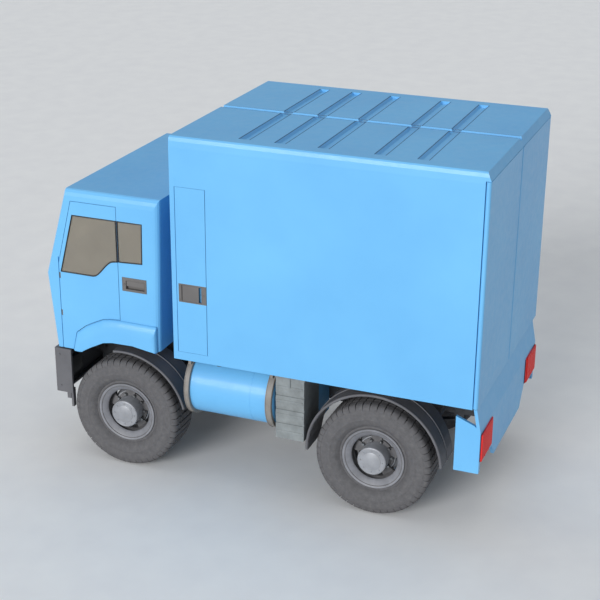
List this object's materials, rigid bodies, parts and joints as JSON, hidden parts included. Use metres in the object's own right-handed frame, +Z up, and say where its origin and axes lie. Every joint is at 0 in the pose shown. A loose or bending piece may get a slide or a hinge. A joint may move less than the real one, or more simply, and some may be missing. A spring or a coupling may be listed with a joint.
{
  "type": "mail delivery truck",
  "caption": "Cab-over mail delivery truck with a tilting cab, closed cargo box with rear double doors and a side locker, saddle tank and single wheels.",
  "frame": {"origin": "on the ground, on the centre line, halfway between the foremost and rearmost points", "axes": "+X to the truck's left, +Y to its rear (it drives towards -Y), +Z up"},
  "size_m": [2.3, 4.291, 3.393],
  "materials": {
    "cab_paint": "gloss enamel over steel and panel",
    "chassis_paint": "satin chassis enamel",
    "grey_plastic": "textured moulding",
    "headlamp_lens": "clear ribbed lens",
    "lamp_red": "moulded acrylic lens",
    "band_steel": "painted strap steel",
    "exhaust_steel": "heat-dulled aluminised steel",
    "cast_iron": "painted casting",
    "tyre_rubber": "dusty black rubber",
    "rim_paint": "grey wheel enamel",
    "hub_paint": "satin silver-grey enamel",
    "deck_metal": "mill-finish sheet",
    "cab_trim": "grained moulding",
    "tinted_glass": "bronze tint",
    "seat_fabric": "woven cloth",
    "wiper_black": "matt black"
  },
  "bodies": {
    "chassis": {"frame_rails": "chassis_paint", "crossmembers": "chassis_paint", "front_bumper": "grey_plastic", "headlamps": "headlamp_lens", "rear_valance": "cab_paint", "tail_lamps": "lamp_red", "fuel_tank": "cab_paint", "tank_bands": "band_steel", "battery_box": "chassis_paint", "tool_box": "cab_paint", "air_tanks": "chassis_paint", "silencer": "exhaust_steel", "mudguards": "grey_plastic", "powertrain": "cast_iron", "leaf_springs": "chassis_paint", "front_axle": "chassis_paint", "rear_axle": "chassis_paint", "box_floor": "deck_metal", "box_front_wall": "cab_paint", "box_side_left": "cab_paint", "box_side_right": "cab_paint", "box_roof": "cab_paint", "box_rear_frame": "cab_paint", "locker_liner": "deck_metal"},
    "prop_shaft": {"prop_shaft": "chassis_paint"},
    "knuckle_left": {"knuckle_left": "chassis_paint"},
    "knuckle_right": {"knuckle_right": "chassis_paint"},
    "tie_rod": {"tie_rod": "chassis_paint"},
    "wheel_front_left": {"tyre_front_left": "tyre_rubber", "rim_front_left": "rim_paint", "hub_front_left": "hub_paint"},
    "wheel_front_right": {"tyre_front_right": "tyre_rubber", "rim_front_right": "rim_paint", "hub_front_right": "hub_paint"},
    "wheel_rear_left": {"tyre_rear_left": "tyre_rubber", "rim_rear_left": "rim_paint", "hub_rear_left": "hub_paint"},
    "wheel_rear_right": {"tyre_rear_right": "tyre_rubber", "rim_rear_right": "rim_paint", "hub_rear_right": "hub_paint"},
    "locker_door": {"locker_door": "cab_paint", "locker_plate": "grey_plastic"},
    "locker_paddle": {"locker_paddle": "grey_plastic"},
    "rear_door_left": {"rear_door_left": "cab_paint"},
    "rear_door_right": {"rear_door_right": "cab_paint"},
    "cab": {"cab_shell": "cab_paint", "cab_floor": "cab_trim", "fixed_glass": "tinted_glass", "cab_fittings": "grey_plastic", "dashboard": "cab_trim", "seats": "seat_fabric"},
    "steering_wheel": {"steering_wheel": "cab_trim"},
    "door_left": {"door_left": "cab_paint", "door_glass_left": "tinted_glass"},
    "door_right": {"door_right": "cab_paint", "door_glass_right": "tinted_glass"},
    "paddle_left": {"paddle_left": "grey_plastic"},
    "paddle_right": {"paddle_right": "grey_plastic"},
    "wiper_left": {"wiper_left": "wiper_black"},
    "wiper_right": {"wiper_right": "wiper_black"}
  },
  "joints": [
    {"name": "cab_tilt", "type": "hinge", "parent": "chassis", "child": "cab", "pos_m": [0, -2.0485, 1.156], "axis": [1, 0, 0], "range_deg": [0, 50]},
    {"name": "door_left_swing", "type": "hinge", "parent": "cab", "child": "door_left", "pos_m": [1.072, -2.0005, 1.7], "axis": [0, 0, -1], "range_deg": [0, 75]},
    {"name": "door_right_swing", "type": "hinge", "parent": "cab", "child": "door_right", "pos_m": [-1.072, -2.0005, 1.7], "axis": [0, 0, 1], "range_deg": [0, 75]},
    {"name": "paddle_left_pull", "type": "hinge", "parent": "cab", "child": "paddle_left", "pos_m": [1.07, -1.2015, 1.928], "axis": [0, -1, 0], "range_deg": [0, 35], "stiffness_Nm_per_rad": 0.4, "springref_deg": -11.46},
    {"name": "paddle_right_pull", "type": "hinge", "parent": "cab", "child": "paddle_right", "pos_m": [-1.07, -1.2015, 1.928], "axis": [0, 1, 0], "range_deg": [0, 35], "stiffness_Nm_per_rad": 0.4, "springref_deg": -11.46},
    {"name": "steering_wheel_turn", "type": "hinge", "parent": "cab", "child": "steering_wheel", "pos_m": [0.59, -1.7965, 1.965], "axis": [0, 0.5, 0.866], "range_deg": [-540, 540]},
    {"name": "wiper_right_sweep", "type": "hinge", "parent": "cab", "child": "wiper_right", "pos_m": [-0.16, -2.11153, 2.0163], "axis": [0, 0.9624, -0.2718], "range_deg": [0, 88]},
    {"name": "wiper_left_sweep", "type": "hinge", "parent": "cab", "child": "wiper_left", "pos_m": [0.72, -2.11153, 2.0163], "axis": [0, 0.9624, -0.2718], "range_deg": [0, 88]},
    {"name": "steer_left", "type": "hinge", "parent": "chassis", "child": "knuckle_left", "pos_m": [0.76, -1.3695, 0.55], "axis": [0, 0, 1], "range_deg": [-30, 30]},
    {"name": "steer_right", "type": "hinge", "parent": "chassis", "child": "knuckle_right", "pos_m": [-0.76, -1.3695, 0.55], "axis": [0, 0, 1], "range_deg": [-30, 30]},
    {"name": "tie_rod_swing", "type": "hinge", "parent": "knuckle_left", "child": "tie_rod", "pos_m": [0.76, -1.1795, 0.468], "axis": [0, 0, 1], "range_deg": [-30, 30]},
    {"name": "wheel_front_left_spin", "type": "hinge", "parent": "knuckle_left", "child": "wheel_front_left", "pos_m": [0.886, -1.3695, 0.55], "axis": [1, 0, 0], "continuous": true},
    {"name": "wheel_front_right_spin", "type": "hinge", "parent": "knuckle_right", "child": "wheel_front_right", "pos_m": [-0.886, -1.3695, 0.55], "axis": [1, 0, 0], "continuous": true},
    {"name": "wheel_rear_left_spin", "type": "hinge", "parent": "chassis", "child": "wheel_rear_left", "pos_m": [0.886, 1.1435, 0.55], "axis": [1, 0, 0], "continuous": true},
    {"name": "wheel_rear_right_spin", "type": "hinge", "parent": "chassis", "child": "wheel_rear_right", "pos_m": [-0.886, 1.1435, 0.55], "axis": [1, 0, 0], "continuous": true},
    {"name": "prop_shaft_spin", "type": "hinge", "parent": "chassis", "child": "prop_shaft", "pos_m": [0, 0.2, 0.6], "axis": [0, 1, 0], "continuous": true},
    {"name": "locker_door_swing", "type": "hinge", "parent": "chassis", "child": "locker_door", "pos_m": [1.143, -0.7325, 2.1], "axis": [0, 0, -1], "range_deg": [0, 95]},
    {"name": "locker_paddle_pull", "type": "hinge", "parent": "locker_door", "child": "locker_paddle", "pos_m": [1.141, -0.6815, 1.9355], "axis": [0, 0, -1], "range_deg": [0, 40], "stiffness_Nm_per_rad": 0.4, "springref_deg": -11.46},
    {"name": "rear_door_left_swing", "type": "hinge", "parent": "chassis", "child": "rear_door_left", "pos_m": [1.128, 2.0825, 2.3], "axis": [0, 0, -1], "range_deg": [0, 180]},
    {"name": "rear_door_right_swing", "type": "hinge", "parent": "chassis", "child": "rear_door_right", "pos_m": [-1.128, 2.0825, 2.3], "axis": [0, 0, 1], "range_deg": [0, 180]}
  ],
  "couplings": [
    {"joint": "steer_right", "follows": "steer_left", "ratio": 1},
    {"joint": "tie_rod_swing", "follows": "steer_left", "ratio": -1},
    {"joint": "steering_wheel_turn", "follows": "steer_left", "ratio": 18},
    {"joint": "wheel_rear_right_spin", "follows": "wheel_rear_left_spin", "ratio": 1},
    {"joint": "prop_shaft_spin", "follows": "wheel_rear_left_spin", "ratio": 4.3},
    {"joint": "wiper_left_sweep", "follows": "wiper_right_sweep", "ratio": 1}
  ]
}
